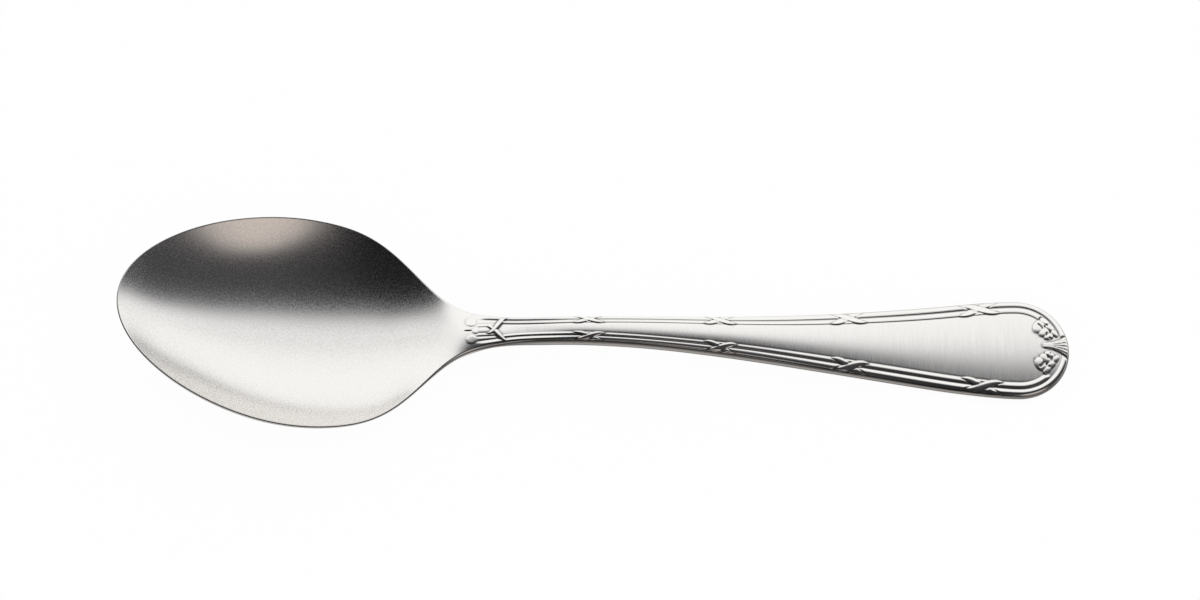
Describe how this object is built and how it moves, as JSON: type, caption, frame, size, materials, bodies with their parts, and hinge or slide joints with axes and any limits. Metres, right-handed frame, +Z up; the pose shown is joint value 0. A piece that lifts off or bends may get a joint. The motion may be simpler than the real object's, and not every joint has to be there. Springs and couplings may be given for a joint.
{
  "type": "tablespoon",
  "caption": "Stamped steel tablespoon with an egg-shaped bowl and a flaring, round-ended handle edged with reeds.",
  "frame": {"origin": "on the table under the middle of the spoon's box, on its plane of symmetry", "axes": "+X along the spoon from the tip of the bowl to the end of the handle, +Y across it, +Z up out of the bowl, as it rests on a table"},
  "size_m": [0.2, 0.048, 0.0186],
  "materials": {
    "stainless_steel": "polished stainless steel with a fine satin grain in the bowl and fine cross brushing on the handle"
  },
  "bodies": {
    "root": {"spoon": "stainless_steel"}
  },
  "joints": []
}
